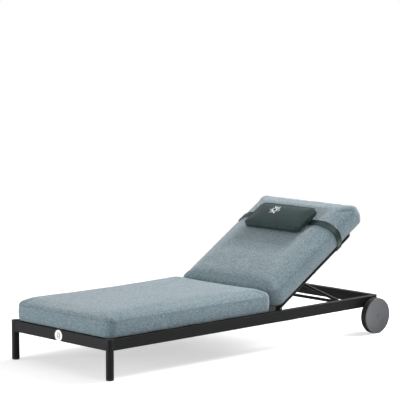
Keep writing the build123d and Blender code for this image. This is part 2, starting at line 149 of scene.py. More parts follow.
def sweep(name, path, section, closed=False, sideways=None):
    """A tube of the given cross-section along a path. sideways holds its first axis at each point."""
    path = [Vector(p) for p in path]
    count, size = len(path), len(section)
    points = []
    side = sideways[0] if sideways else None
    for i, here in enumerate(path):
        after = path[(i + 1) % count] if closed or i + 1 < count else here
        before = path[i - 1] if closed or i else here
        tangent = (after - before).normalized()
        if sideways:
            side = sideways[i]
        elif side is None:
            side = tangent.orthogonal()
        side = (side - tangent * side.dot(tangent)).normalized()
        rise = tangent.cross(side)
        points += [here + side * a + rise * b for a, b in section]
    faces = []
    for i in range(count if closed else count - 1):
        j = (i + 1) % count
        for k in range(size):
            l = (k + 1) % size
            faces.append((i * size + k, j * size + k, j * size + l, i * size + l))
    if not closed:
        faces.append(tuple(range(size)))
        faces.append(tuple(range((count - 1) * size, count * size))[::-1])
    return new_object(name, points, faces)


def circle(radius, sides=8):
    turns = [2 * math.pi * k / sides for k in range(sides)]
    return [(radius * math.cos(t), radius * math.sin(t)) for t in turns]


def merged(name, objects):
    """One object out of several, so that a row of stitches is one piece."""
    points, faces = [], []
    for obj in objects:
        start = len(points)
        points += [tuple(v.co) for v in obj.data.vertices]
        faces += [tuple(start + i for i in p.vertices) for p in obj.data.polygons]
        bpy.data.objects.remove(obj)
    return new_object(name, points, faces)


def rounded_loop(points, closed=True, spacing=0.004):
    """Points at an even spacing along a smooth line through the given ones."""
    points = [Vector(p) for p in points]
    count = len(points)
    smooth = []
    for i in range(count if closed else count - 1):
        around = [i + k for k in (-1, 0, 1, 2)]
        four = [points[k % count if closed else min(max(k, 0), count - 1)] for k in around]
        pieces = max(1, round((four[2] - four[1]).length / spacing))
        for k in range(pieces):
            t = k / pieces
            a = four[1] * 2
            b = (four[2] - four[0]) * t
            c = (four[0] * 2 - four[1] * 5 + four[2] * 4 - four[3]) * t**2
            d = (four[1] * 3 - four[0] - four[2] * 3 + four[3]) * t**3
            smooth.append((a + b + c + d) / 2)
    if not closed:
        smooth.append(points[-1])
    return smooth


# ---- materials ----------------------------------------------------------------------------
class Nodes:
    """A short way to write a material's nodes."""

    def __init__(self, name, colour, roughness, **inputs):
        self.material = bpy.data.materials.new(name)
        self.material.use_nodes = True
        self.material.diffuse_color = (*colour, 1)
        self.tree = self.material.node_tree
        self.shader = self.tree.nodes["Principled BSDF"]
        self.shader.inputs["Base Color"].default_value = (*colour, 1)
        self.shader.inputs["Roughness"].default_value = roughness
        for key, value in inputs.items():
            self.shader.inputs[key.replace("_", " ")].default_value = value
        self.place = self.tree.nodes.new("ShaderNodeTexCoord").outputs["Object"]

    def add(self, kind, links=(), **settings):
        node = self.tree.nodes.new("ShaderNode" + kind)
        for key, value in settings.items():
            setattr(node, key, value)
        for name, value in dict(links).items():
            socket = node.inputs[name]
            if isinstance(value, bpy.types.NodeSocket):
                self.tree.links.new(value, socket)
            else:
                socket.default_value = value
        return node

    def math(self, operation, a, b=0.0, clamp=False):
        return self.add("Math", {0: a, 1: b}, operation=operation, use_clamp=clamp).outputs[0]

    def turned(self, degrees_about_x, scale=(1, 1, 1), source=None):
        """The coordinates turned about X, then scaled."""
        rotation = (math.radians(degrees_about_x), 0, 0)
        links = {"Vector": source or self.place, "Rotation": rotation, "Scale": scale}
        return self.add("Mapping", links).outputs[0]

    def noise(self, vector, scale, detail=3.0, roughness=0.5):
        links = {"Vector": vector, "Scale": scale, "Detail": detail, "Roughness": roughness}
        return self.add("TexNoise", links).outputs["Fac"]

    def ramp(self, factor, stops):
        node = self.add("ValToRGB", {"Fac": factor})
        elements = node.color_ramp.elements
        elements[0].position, elements[0].color = stops[0][0], (*stops[0][1], 1)
        elements[1].position, elements[1].color = stops[-1][0], (*stops[-1][1], 1)
        for position, colour in stops[1:-1]:
            elements.new(position).color = (*colour, 1)
        return node.outputs["Color"]

    def mix(self, factor, a, b, blend_type="MIX"):
        node = self.add("Mix", data_type="RGBA", blend_type=blend_type)
        for socket, value in ((node.inputs[0], factor), (node.inputs[6], a), (node.inputs[7], b)):
            if isinstance(value, bpy.types.NodeSocket):
                self.tree.links.new(value, socket)
            else:
                socket.default_value = (*value, 1) if isinstance(value, tuple) else value
        return node.outputs[2]

    def bump(self, height, distance, strength=1.0, normal=None):
        links = {"Height": height, "Distance": distance, "Strength": strength}
        if normal:
            links["Normal"] = normal
        return self.add("Bump", links).outputs[0]

    def set(self, name, value):
        self.tree.links.new(value, self.shader.inputs[name])


def grey(level):
    return (level, level, level)


def fabric(name, tilt, dark, middle, light):
    """A melange weave: fine threads both ways, each with its own streaks of lighter and darker yarn."""
    made = Nodes(name, middle, 0.92, Specular_IOR_Level=0.2, Sheen_Weight=0.4, Sheen_Roughness=0.45)
    flat = made.turned(tilt)
    axes = made.add("SeparateXYZ", {"Vector": flat}).outputs
    thread_pitch = 0.0026
    waves = [made.math("SINE", made.math("MULTIPLY", axis, 2 * math.pi / thread_pitch)) for axis in axes]
    products = [made.math("MULTIPLY", waves[i], waves[(i + 1) % 3]) for i in range(3)]
    weave = made.math("ADD", made.math("ADD", products[0], products[1]), products[2])
    streaks_across = made.noise(made.turned(0, (65, 250, 250), flat), 1.0, 2.0, 0.6)
    streaks_along = made.noise(made.turned(0, (250, 65, 250), flat), 1.0, 2.0, 0.6)
    speckle = made.noise(flat, 180.0, 3.0, 0.7)
    cloud = made.noise(flat, 7.0, 3.0, 0.55)
    streaks = made.math("ADD", streaks_across, streaks_along)
    tone = made.math("MULTIPLY", made.math("ADD", streaks, speckle), 1 / 3)
    tone = made.math("ADD", tone, made.math("MULTIPLY", weave, 0.012))
    tone = made.math("ADD", tone, made.math("MULTIPLY", made.math("SUBTRACT", cloud, 0.5), 0.05))
    made.set("Base Color", made.ramp(tone, [(0.36, dark), (0.50, middle), (0.64, light)]))
    height = made.math("ADD", weave, made.math("MULTIPLY", tone, 6.0))
    made.set("Normal", made.bump(height, 0.0005, 0.55))
    return made.material


def leather(name, tilt, dark, light):
    """Smooth, slightly waxed leather with a fine pebble grain and soft creases."""
    made = Nodes(name, light, 0.38, Specular_IOR_Level=0.4, Coat_Weight=0.15, Coat_Roughness=0.22)
    flat = made.turned(tilt)
    grain = made.add("TexVoronoi", {"Vector": flat, "Scale": 620.0}, feature="SMOOTH_F1").outputs["Distance"]
    fine = made.noise(flat, 900.0, 2.0)
    creases = made.noise(made.turned(0, (30, 55, 40), flat), 1.0, 4.0, 0.6)
    rub = made.noise(flat, 16.0, 4.0, 0.6)
    made.set("Base Color", made.ramp(rub, [(0.35, dark), (0.68, light)]))
    made.set("Roughness", made.ramp(made.math("ADD", rub, made.math("MULTIPLY", grain, 0.2)),
                                    [(0.3, grey(0.30)), (0.75, grey(0.46))]))
    pebbles = made.bump(made.math("ADD", grain, made.math("MULTIPLY", fine, 0.3)), 0.0003, 0.35)
    made.set("Normal", made.bump(creases, 0.004, 0.35, pebbles))
    return made.material


def edge_mask(made, radius):
    """Near 1 on a piece's edges and 0 elsewhere, with the rounded normal that goes with it."""
    rounded = made.add("Bevel", {"Radius": radius}, samples=4).outputs[0]
    true_normal = made.add("NewGeometry").outputs["Normal"]
    facing = made.add("VectorMath", {0: rounded, 1: true_normal}, operation="DOT_PRODUCT").outputs["Value"]
    return rounded, made.math("MULTIPLY", made.math("SUBTRACT", 1.0, facing), 6.0, clamp=True)


def powder_coat(name, colour, worn, roughness):
    """Fine-textured powder coat over metal, a little paler where edges have been rubbed."""
    made = Nodes(name, colour, roughness, Specular_IOR_Level=0.16)
    rounded, edges = edge_mask(made, 0.0016)
    patches = made.noise(made.place, 45.0, 4.0, 0.65)
    wear = made.math("MULTIPLY", edges, made.math("GREATER_THAN", patches, 0.5))
    # Cloudy lighter and darker patches in the coat's colour: partly dust, partly painted sheen.
    dust = made.noise(made.place, 5.0, 5.0, 0.6)
    base = made.mix(dust, tuple(0.8 * c for c in colour), tuple(1.35 * c for c in colour))
    made.set("Base Color", made.mix(made.math("MULTIPLY", wear, 0.5), base, worn))
    made.set("Roughness", made.ramp(dust, [(0.3, grey(roughness - 0.06)), (0.7, grey(roughness + 0.08))]))
    texture = made.noise(made.place, 1400.0, 2.0, 0.5)
    made.set("Normal", made.bump(texture, 0.0002, 0.35, rounded))
    return made.material


def plastic(name, colour, roughness):
    """Moulded plastic with a fine spark-eroded texture."""
    made = Nodes(name, colour, roughness, Specular_IOR_Level=0.4)
    rounded, _ = edge_mask(made, 0.0012)
    texture = made.noise(made.place, 1100.0, 3.0, 0.6)
    cloud = made.noise(made.place, 20.0, 3.0)
    made.set("Base Color", made.mix(cloud, tuple(0.85 * c for c in colour), tuple(1.2 * c for c in colour)))
    made.set("Normal", made.bump(texture, 0.00025, 0.5, rounded))
    return made.material


def rubber(name):
    made = Nodes(name, grey(0.012), 0.72, Specular_IOR_Level=0.35)
    dust = made.noise(made.place, 60.0, 5.0, 0.7)
    made.set("Base Color", made.ramp(dust, [(0.4, grey(0.010)), (0.8, (0.035, 0.033, 0.030))]))
    made.set("Normal", made.bump(made.noise(made.place, 800.0, 3.0), 0.0004, 0.5))
    return made.material


def spun_metal(name, colour, roughness):
    """A painted or bare disc with faint turning marks round the X axis."""
    made = Nodes(name, colour, roughness, Metallic=0.35, Specular_IOR_Level=0.5)
    axle_y, axle_z = (v * -1 for v in wheel_centre())
    moved = made.add("VectorMath", {0: made.place, 1: (0, axle_y, axle_z)}, operation="ADD").outputs[0]
    flat = made.add("VectorMath", {0: moved, 1: (0, 1, 1)}, operation="MULTIPLY").outputs[0]
    radius = made.add("VectorMath", {0: flat}, operation="LENGTH").outputs["Value"]
    rings = made.math("SINE", made.math("MULTIPLY", radius, 2 * math.pi / 0.0011))
    rounded, edges = edge_mask(made, 0.0015)
    cloud = made.noise(made.place, 18.0, 4.0)
    base = made.mix(cloud, tuple(0.88 * c for c in colour), tuple(1.14 * c for c in colour))
    made.set("Base Color", made.mix(made.math("MULTIPLY", edges, 0.4), base, tuple(2.2 * c for c in colour)))
    pressed = made.bump(made.math("MULTIPLY", radius, radius), 1.0, 1.0, rounded)
    made.set("Normal", made.bump(rings, 0.00006, 0.35, pressed))
    return made.material


def bright_metal(name, colour, roughness):
    made = Nodes(name, colour, roughness, Metallic=1.0)
    rounded, _ = edge_mask(made, 0.0006)
    brushed = made.noise(made.turned(0, (60, 900, 900)), 1.0, 3.0, 0.6)
    made.set("Roughness", made.ramp(brushed, [(0.3, grey(roughness - 0.08)), (0.7, grey(roughness + 0.1))]))
    made.set("Normal", made.bump(brushed, 0.0001, 0.3, rounded))
    return made.material


def slat_wood(name):
    made = Nodes(name, (0.30, 0.17, 0.08), 0.55, Specular_IOR_Level=0.35)
    rings = made.noise(made.turned(0, (2.5, 60, 60)), 1.0, 6.0, 0.6)
    pores = made.noise(made.turned(0, (40, 900, 900)), 1.0, 3.0, 0.6)
    made.set("Base Color", made.ramp(rings, [(0.3, (0.19, 0.10, 0.045)), (0.7, (0.40, 0.24, 0.12))]))
    made.set("Normal", made.bump(made.math("ADD", rings, pores), 0.0004, 0.4))
    return made.material


def wheel_centre():
    low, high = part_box("wheel_disc_right")
    return (low[1] + high[1]) / 2, (low[2] + high[2]) / 2


BACK_TILT = -math.degrees(math.atan2(UP.z, UP.y))
FABRIC_TONES = ((0.064, 0.098, 0.116), (0.163, 0.226, 0.258), (0.312, 0.405, 0.445))
LEATHER_TONES = ((0.005, 0.021, 0.020), (0.010, 0.035, 0.033))
seat_fabric = fabric("seat_fabric", 0, *FABRIC_TONES)
back_fabric = fabric("back_fabric", BACK_TILT, *FABRIC_TONES)
seam_fabric = fabric("seam_fabric", 0, *[tuple(0.75 * c for c in tone) for tone in FABRIC_TONES])
green_leather = leather("green_leather", BACK_TILT, *LEATHER_TONES)
green_piping = leather("green_piping", BACK_TILT, *[tuple(0.8 * c for c in tone) for tone in LEATHER_TONES])
thread = plastic("thread", (0.035, 0.075, 0.068), 0.6)
silver_thread = bright_metal("silver_thread", (0.72, 0.74, 0.74), 0.42)
slot_materials = {
    "frame": powder_coat("frame", (0.0085, 0.0087, 0.009), (0.05, 0.051, 0.053), 0.42),
    "black_plastic": plastic("black_plastic", grey(0.014), 0.55),
    "steel": bright_metal("steel", (0.42, 0.43, 0.44), 0.32),
    "hub_plastic": plastic("hub_plastic", (0.018, 0.019, 0.020), 0.5),
    "disc_metal": spun_metal("disc_metal", (0.098, 0.103, 0.110), 0.30),
    "rubber": rubber("rubber"),
    "slat_wood": slat_wood("slat_wood"),
    "rack_plastic": plastic("rack_plastic", grey(0.012), 0.45),
    "badge_metal": bright_metal("badge_metal", (0.78, 0.79, 0.79), 0.34),
    "cushion_fabric": seat_fabric,
    "green_leather": green_leather,
}


def dress_cad_nodes():
    """Every CAD node that stays gets its slot's material."""
    for part in record["subparts"]:
        mesh = frame["nodes"][part["node"]].data
        mesh.materials.clear()
        mesh.materials.append(slot_materials[part["material_slot"]])


def finish_piece(obj, material, body=None, hinge_span=None):
    """The steps that every piece needs: its material, and the body that it follows; a piece given a hinge
    span follows no body and only has its transform baked in.
    """
    obj.data.materials.clear()
    obj.data.materials.append(material)
    if hinge_span:
        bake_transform(obj)
    else:
        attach(obj, body)
    return obj


# ---- pads ---------------------------------------------------------------------------------
def grid_lines(half, corner):
    """Lines across a pad, with a few kept together inside the corner arcs."""
    corner_cells = max(3, round(corner * 1.4 / CELL))
    middle_cells = max(4, round(2 * (half - corner) / CELL))
    edge = np.linspace(half - corner, half, corner_cells + 1)
    middle = np.linspace(-(half - corner), half - corner, middle_cells + 1)
    return np.concatenate([-edge[::-1], middle[1:-1], edge])


def plan_grid(lines_x, lines_y, half, corner, inset):
    """The grid's points on a rounded rectangle that lies inset from the full outline."""
    scaled = []
    for lines, full in ((lines_x, half[0]), (lines_y, half[1])):
        inner = full - corner
        core = np.clip(lines, -inner, inner)
        past = (np.abs(lines) - inner) / corner
        scaled.append((core, np.clip(past, 0, 1), np.sign(lines)))
    (core_x, past_x, sign_x), (core_y, past_y, sign_y) = scaled
    a, b = np.meshgrid(past_x, past_y, indexing="ij")
    bent_a = a * np.sqrt(1 - b**2 / 2)
    bent_b = b * np.sqrt(1 - a**2 / 2)
    x = core_x[:, None] + sign_x[:, None] * bent_a * (corner - inset)
    y = core_y[None, :] + sign_y[None, :] * bent_b * (corner - inset)
    return x, y


def distance_inside(x, y, half, corner):
    """How far a point lies inside a rounded rectangle's outline."""
    qx = np.abs(x) - (half[0] - corner)
    qy = np.abs(y) - (half[1] - corner)
    outside = np.hypot(np.maximum(qx, 0), np.maximum(qy, 0))
    return corner - outside - np.minimum(np.maximum(qx, qy), 0)


def border(count_x, count_y):
    """The grid's outer points in order round the outline."""
    right = [(count_x, j) for j in range(count_y)]
    top = [(i, count_y) for i in range(count_x, 0, -1)]
    left = [(0, j) for j in range(count_y, 0, -1)]
    bottom = [(i, 0) for i in range(count_x)]
    return bottom + right + top + left


def panel_rise(inside, parts):
    """A panel's height over its seam: a sum of rounded and of slow rises, each a (kind, height, reach)."""
    rise = np.zeros_like(inside)
    for kind, height, reach in parts:
        if kind == "round":
            share = np.clip(inside / reach, 0, 1)
            rise += height * np.sqrt(1 - (1 - share) ** 2)
        else:
            rise += height * (1 - np.exp(-inside / reach))
    return rise


def pad_mesh(name, half, corner, seams, top, bottom, sides):
    """A closed pad: a top and a bottom panel, each (inset, rises), and between their seams the boxing
    strip, given as rows of (inset, height)."""
    lines_x, lines_y = grid_lines(half[0], corner), grid_lines(half[1], corner)
    count_x, count_y = len(lines_x) - 1, len(lines_y) - 1
    width = count_y + 1
    points = []
    for height, direction, (inset, rises) in ((seams[1], 1, top), (seams[0], -1, bottom)):
        x, y = plan_grid(lines_x, lines_y, half, corner, inset)
        inside = np.clip(distance_inside(x, y, half, corner) - inset, 0, None)
        level = height + direction * panel_rise(inside, rises)
        points += list(np.stack([x, y, level], -1).reshape(-1, 3))
    panel = (count_x + 1) * width
    ring = border(count_x, count_y)
    rings = [[i * width + j for i, j in ring]]
    for inset, height in sides:
        x, y = plan_grid(lines_x, lines_y, half, corner, inset)
        rings.append(list(range(len(points), len(points) + len(ring))))
        points += [(x[i, j], y[i, j], height) for i, j in ring]
    rings.append([panel + i * width + j for i, j in ring])

    faces = []
    for i in range(count_x):
        for j in range(count_y):
            corners = (i * width + j, (i + 1) * width + j, (i + 1) * width + j + 1, i * width + j + 1)
            faces.append(corners)
            faces.append(tuple(panel + c for c in corners[::-1]))
    for above, below in zip(rings, rings[1:]):
        for k in range(len(ring)):
            after = (k + 1) % len(ring)
            faces.append((above[k], below[k], below[after], above[after]))
    obj = new_object(name, points, faces)
    return obj, rings, list(range(panel, 2 * panel))


def inflate(obj, held, cap, pressure=4.0):
    """Swells a pad with the cloth solver. Held points stay, and no point moves further than the cap."""
    before = coordinates(obj.data)
    group = obj.vertex_groups.new(name="held")
    for weight, indices in held:
        group.add(indices, weight, "REPLACE")
    cloth = obj.modifiers.new("Cloth", "CLOTH")
    settings = cloth.settings
    settings.quality = 5
    settings.mass = 0.3
    settings.tension_stiffness = 14
    settings.compression_stiffness = 14
    settings.shear_stiffness = 5
    settings.bending_stiffness = 0.6
    settings.use_pressure = True
    settings.uniform_pressure_force = pressure
    settings.vertex_group_mass = group.name
    settings.effector_weights.gravity = 0
    for number in range(1, SWELLING_FRAMES + 1):
        bpy.context.scene.frame_set(number)
    swollen = coordinates(obj.evaluated_get(bpy.context.evaluated_depsgraph_get()).data)
    obj.modifiers.remove(cloth)
    bpy.context.scene.frame_set(1)
    move = swollen - before
    length = np.linalg.norm(move, axis=1, keepdims=True)
    # A soft limit keeps the swelling smooth where it nears the cap.
    share = cap * np.tanh(length / cap) / np.maximum(length, 1e-9)
    set_coordinates(obj.data, before + move * share)


def subdivided(obj, creased_rings, crease):
    """One subdivision, with the seams kept a little sharp."""
    mesh = obj.data
    sharp = set()
    for ring in creased_rings:
        sharp |= {frozenset((ring[k], ring[(k + 1) % len(ring)])) for k in range(len(ring))}
    layer = mesh.attributes.new("crease_edge", "FLOAT", "EDGE")
    layer.data.foreach_set("value", [crease if frozenset(e.vertices) in sharp else 0.0 for e in mesh.edges])
    obj.modifiers.new("Subdivision", "SUBSURF").levels = 1
    apply_modifiers(obj)


def fbm(point, scale, seed):
    """Smooth noise from about -1 to 1."""
    moved = Vector(point) * scale + Vector((seed, seed * 1.7, seed * 0.6))
    return noise.noise(moved) + 0.5 * noise.noise(moved * 2.1)


def ripple(obj, seam_points, broad, pucker, seed):
    """Small uneven hollows all over, and short puckers close to the seams."""
    mesh = obj.data
    points, out = coordinates(mesh), normals(mesh)
    seams = np.array(seam_points)
    # A pad's underside lies flat on what carries it.
    above = np.clip((points[:, 2] - points[:, 2].min()) / 0.012, 0, 1)
    moves = np.empty(len(points))
    for index, point in enumerate(points):
        near = np.min(np.linalg.norm(seams - point, axis=1))
        broad_move = broad * fbm(point, 7.0, seed)
        short_move = pucker * fbm(point, 34.0, seed + 3) * math.exp(-near / 0.022)
        moves[index] = (broad_move + short_move) * above[index]
    set_coordinates(mesh, points + out * moves[:, None])


def seam_line(name, points, radius, closed=True):
    """A fine raised line of thread and folded cloth along a seam."""
    return sweep(name, rounded_loop(points, closed), circle(radius, 6), closed)


def swollen_pad(name, form, cap, seam_hold, ripples, shape=None):
    """A pad's final surface and its two seams' points, in the pad's own frame."""
    obj, rings, underside = pad_mesh(name, **form)
    held = [(1.0, underside), (seam_hold, rings[0])]
    inflate(obj, held, cap)
    if shape:
        set_coordinates(obj.data, shape(coordinates(obj.data)))
    subdivided(obj, (rings[0], rings[-1]), 0.5)
    seam_points = coordinates(obj.data)[rings[0] + rings[-1]]
    ripple(obj, seam_points, *ripples)
    final = coordinates(obj.data)
    return obj, final[rings[0]], final[rings[-1]]


def boxing(seams, top_inset, bottom_inset, middle_inset, rows):
    """The boxing strip's rows between the seams, which stand out most half way."""
    made = []
    for k in range(1, rows):
        share = k / rows
        straight = top_inset + (bottom_inset - top_inset) * share
        swell = (middle_inset - (top_inset + bottom_inset) / 2) * math.sin(math.pi * share)
        made.append((straight + swell, seams[1] + (seams[0] - seams[1]) * share))
    return made


def seat_cushion():
    """The seat cushion, flat on the slats, with a seam round the top and one near the bottom."""
    low_y, high_y = SEAT_LOW[1], SEAT_HIGH[1] + SEAT_BULGE
    half = (SEAT_HIGH[0], (high_y - low_y) / 2)
    form = {
        "half": half, "corner": SEAT_CORNER, "seams": SEAT_SEAM,
        "top": (0.002, [("round", 0.027, 0.048), ("slow", 0.009, 0.080)]),
        "bottom": (0.004, [("slow", SEAT_SEAM[0], 0.0015)]),
        "sides": boxing(SEAT_SEAM, 0.002, 0.004, -0.001, 6),
    }
    obj, top, bottom = swollen_pad("seat_pad", form, 0.009, 0.85, (0.0010, 0.0012, 3.0))
    shift = np.array((0, (low_y + high_y) / 2, SEAT_LOW[2]))
    set_coordinates(obj.data, coordinates(obj.data) + shift)
    finish_piece(obj, seat_fabric, "chassis")
    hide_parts("seat_cushion")
    for name, points in (("seat_top_seam", top), ("seat_bottom_seam", bottom)):
        line = seam_line(name, points + shift, SEAM_RADIUS)
        finish_piece(line, seam_fabric, "chassis")


def pillow_dent(points):
    """The back cushion's crown is flattened wherever the pillow slides."""
    x, up, out = points.T
    middle = sum(BACK_ENDS) / 2
    low = PILLOW_ENDS[0] + PILLOW_TRAVEL[0] - middle
    high = PILLOW_ENDS[1] + PILLOW_TRAVEL[1] - middle
    across = 1 / (1 + np.exp((np.abs(x - PILLOW_ASIDE) - PILLOW_HALF_WIDTH - 0.02) / 0.008))
    along = 1 / (1 + np.exp((np.abs(up - (low + high) / 2) - (high - low) / 2 - 0.03) / 0.012))
    limit = PILLOW_BASE - 0.0030
    over = np.maximum(out - limit, 0)
    return np.stack([x, up, out - across * along * over], -1)


def back_cushion():
    """The back cushion, laid along the backrest; it is attached to no body."""
    half = (BACK_HALF_WIDTH, (BACK_ENDS[1] - BACK_ENDS[0]) / 2)
    middle = sum(BACK_ENDS) / 2
    form = {
        "half": half, "corner": BACK_CORNER, "seams": BACK_SEAM,
        "top": (0.006, [("round", 0.026, 0.050), ("slow", 0.008, 0.080)]),
        "bottom": (0.012, [("slow", BACK_SEAM[0] - BACK_BASE, 0.005)]),
        "sides": boxing(BACK_SEAM, 0.006, 0.012, 0.0, 6),
    }
    obj, top, bottom = swollen_pad("back_pad", form, 0.009, 0.8, (0.0010, 0.0013, 11.0), pillow_dent)
    shift = np.array((0, middle, 0))
    local = coordinates(obj.data) + shift
    set_coordinates(obj.data, back_points(local))
    span = (back_point(0, -0.12, 0), back_point(0, 0.16, 0))
    surface = BVHTree.FromPolygons(
        [Vector(p) for p in local], [tuple(f.vertices) for f in obj.data.polygons]
    )
    finish_piece(obj, back_fabric, hinge_span=span)
    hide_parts("back_cushion")
    for name, points in (("back_top_seam", top), ("back_bottom_seam", bottom)):
        line = seam_line(name, back_points(points + shift), SEAM_RADIUS)
        finish_piece(line, seam_fabric, hinge_span=span)
    return surface


def head_pillow():
    """The leather pillow, with piping along both seams and a line of stitches round its face, inside the top
    piping.
    """
    half = (PILLOW_HALF_WIDTH, (PILLOW_ENDS[1] - PILLOW_ENDS[0]) / 2)
    drop = PILLOW_SEAM[0] - PILLOW_BASE
    form = {
        "half": half, "corner": PILLOW_CORNER, "seams": PILLOW_SEAM,
        "top": (0.001, [("round", 0.005, 0.020), ("slow", 0.007, 0.040)]),
        "bottom": (0.001, [("round", 0.6 * drop, 0.050), ("slow", 0.4 * drop, 0.012)]),
        "sides": boxing(PILLOW_SEAM, 0.001, 0.001, -0.001, 3),
    }
    obj, top, bottom = swollen_pad("pillow", form, 0.006, 0.9, (0.0006, 0.0014, 23.0))
    shift = np.array((PILLOW_ASIDE, sum(PILLOW_ENDS) / 2, 0))
    local = coordinates(obj.data) + shift
    surface = BVHTree.FromPolygons(
        [Vector(p) for p in local], [tuple(f.vertices) for f in obj.data.polygons]
    )
    set_coordinates(obj.data, back_points(local))
    finish_piece(obj, green_leather, "headrest")
    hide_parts("head_pillow")
    for name, points in (("pillow_top_piping", top), ("pillow_bottom_piping", bottom)):
        line = seam_line(name, back_points(points + shift), PIPING_RADIUS)
        finish_piece(line, green_piping, "headrest")
    stitch_row("pillow_stitches", surface, half, shift)
    return surface


def stitch(a, b, lift, radius):
    """One stitch: a short thread that lies on the surface and dips in at both ends."""
    middle = (a + b) / 2 + lift
    rising, falling = (near * 0.8 + far * 0.2 + lift * 0.9 for near, far in ((a, b), (b, a)))
    return sweep("stitch", [a, rising, middle, falling, b], circle(radius, 5))


def stitch_row(name, surface, half, shift):
    """Stitches round the pillow's face, just inside the piping."""
    inset, length, gap = 0.008, 0.0042, 0.0022
    corner = PILLOW_CORNER - inset
    inner = (half[0] - inset - corner, half[1] - inset - corner)
    outline = []
    for quarter, (sx, sy) in enumerate(((1, 1), (-1, 1), (-1, -1), (1, -1))):
        for k in range(7):
            turn = math.pi / 2 * (quarter + k / 6)
            x = sx * inner[0] + corner * math.cos(turn)
            y = sy * inner[1] + corner * math.sin(turn)
            outline.append(Vector((x, y, 0)))
    made = []
    for start, end in zip(outline, outline[1:] + outline[:1]):
        run = (end - start).length
        pieces = max(1, round(run / (length + gap)))
        for k in range(pieces):
            a = start.lerp(end, k / pieces)
            b = start.lerp(end, (k + length / (length + gap)) / pieces)
            ends = []
            for p in (a, b):
                hit = surface.ray_cast(Vector((p.x + shift[0], p.y + shift[1], 0.3)), Vector((0, 0, -1)))[0]
                ends.append(back_point(hit.x, hit.y, hit.z))
            made.append(stitch(*ends, OUT * 0.0006, 0.0005))
    finish_piece(merged(name, made), thread, "headrest")


# ---- strap --------------------------------------------------------------------------------
def farthest_hit(surface, start, ray):
    """The cushion's farthest surface on this ray's path, anywhere that the strap slides."""
    reach = STRAP_WIDTH / 2
    stops = np.linspace(PILLOW_TRAVEL[0] - reach, PILLOW_TRAVEL[1] + reach, 23)
    hits = [surface.ray_cast(start + Vector((0, stop, 0)), -ray)[0] for stop in stops]
    farthest = max(hits, key=lambda hit: hit.dot(ray))
    return Vector((farthest.x, start.y, farthest.z))


def strap_path(surface):
    """(x, up, out) at each point of the strap's loop, from under the pillow."""
    lift = STRAP_THICKNESS / 2 + STRAP_CLEARANCE
    turn_x, turn_out = 0.310, 0.058
    face = Vector((0, 0, 1))
    near = []
    for x in np.linspace(0, turn_x, 22):
        near.append(farthest_hit(surface, Vector((x, STRAP_FRONT_AT, 0.3)), face) + face * lift)
    lowest = -0.80
    for step in range(1, 25):
        share = step / 24
        turn = math.pi / 2 + (lowest - math.pi / 2) * share
        up = STRAP_FRONT_AT + (STRAP_BACK_AT - STRAP_FRONT_AT) * share
        ray = Vector((math.cos(turn), 0, math.sin(turn)))
        start = Vector((turn_x, up, turn_out)) + ray * 0.3
        near.append(farthest_hit(surface, start, ray) + ray * lift)
    tube_side = TUBE_OFFSET + TUBE_RADIUS + STRAP_THICKNESS / 2 + TUBE_CLEARANCE
    under = BACK_BASE - 0.0003 - STRAP_THICKNESS / 2
    back_out = -(TUBE_RADIUS + 0.0006 + STRAP_THICKNESS / 2)
    turns = [(tube_side + 0.006, under), (tube_side, under - 0.004), (tube_side, 0.0)]
    turns += [(tube_side - 0.0016, back_out + 0.004), (tube_side - 0.006, back_out)]
    turns += [(x, back_out) for x in np.linspace(tube_side - 0.03, 0, 12)]
    near += [Vector((x, STRAP_BACK_AT, out)) for x, out in turns]
    far = [Vector((-p.x, p.y, p.z)) for p in near[-2:0:-1]]
    return near + far


def strap(surface):
    """One flat leather band round the cushion and the tubes, with a row of stitches along each edge."""
    path = rounded_loop(strap_path(surface), spacing=0.006)
    half, thick = STRAP_WIDTH / 2, STRAP_THICKNESS / 2
    section = [
        (-half, -thick * 0.4), (-half, thick * 0.4), (-half + 0.0008, thick), (-half + 0.006, thick * 0.86),
        (half - 0.006, thick * 0.86), (half - 0.0008, thick), (half, thick * 0.4), (half, -thick * 0.4),
        (half - 0.0008, -thick), (-half + 0.0008, -thick),
    ]
    world = [back_point(*p) for p in path]
    band = sweep("strap", world, section, closed=True, sideways=[UP] * len(world))
    finish_piece(band, green_leather, "headrest")
    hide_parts("strap_front", "strap_sides", "strap_back")
    made = []
    count = len(path)
    for i in range(count):
        here, after = world[i], world[(i + 1) % count]
        tangent = (after - here).normalized()
        outward = tangent.cross(UP).normalized()
        if outward.dot(here - back_point(0, STRAP_FRONT_AT, 0.05)) < 0:
            outward = -outward
        for sign in (-1, 1):
            side = UP * (sign * (half - 0.0042)) + outward * thick * 0.9
            made.append(stitch(here + side, here.lerp(after, 0.68) + side, outward * 0.0005, 0.00045))
    finish_piece(merged("strap_stitches", made), thread, "headrest")


# ---- emblems ------------------------------------------------------------------------------
def sunburst(size):
    """Line segments of a plain twelve-rayed sun: a ring, with long and short rays round it."""
    lines = []
    ring = [(0.36 * size * math.cos(t), 0.36 * size * math.sin(t)) for t in np.linspace(0, 2 * math.pi, 25)]
    lines.append(ring)
    for k in range(12):
        turn = 2 * math.pi * k / 12
        reach = size if k % 2 == 0 else 0.78 * size
        lines.append([(r * math.cos(turn), r * math.sin(turn)) for r in np.linspace(0.50 * size, reach, 4)])
    return lines


def pillow_emblem(surface):
    centre_x, centre_up = -0.060, 0.578
    made = []
    for line in sunburst(0.038):
        points = []
        for a, b in line:
            hit = surface.ray_cast(Vector((centre_x + a, centre_up + b, 0.3)), Vector((0, 0, -1)))[0]
            points.append(back_point(hit.x, hit.y, hit.z + 0.0004))
        made.append(sweep("ray", points, circle(0.0019, 6)))
    finish_piece(merged("pillow_emblem", made), silver_thread, "headrest")


def badge_emblem():
    low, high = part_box("foot_badge")
    face = low[1] + 0.0008
    centre_z = (low[2] + high[2]) / 2
    made = []
    for line in sunburst(0.019):
        made.append(sweep("ray", [Vector((a, face, centre_z + b)) for a, b in line], circle(0.0010, 6)))
    finish_piece(merged("badge_emblem", made), slot_materials["black_plastic"], "chassis")


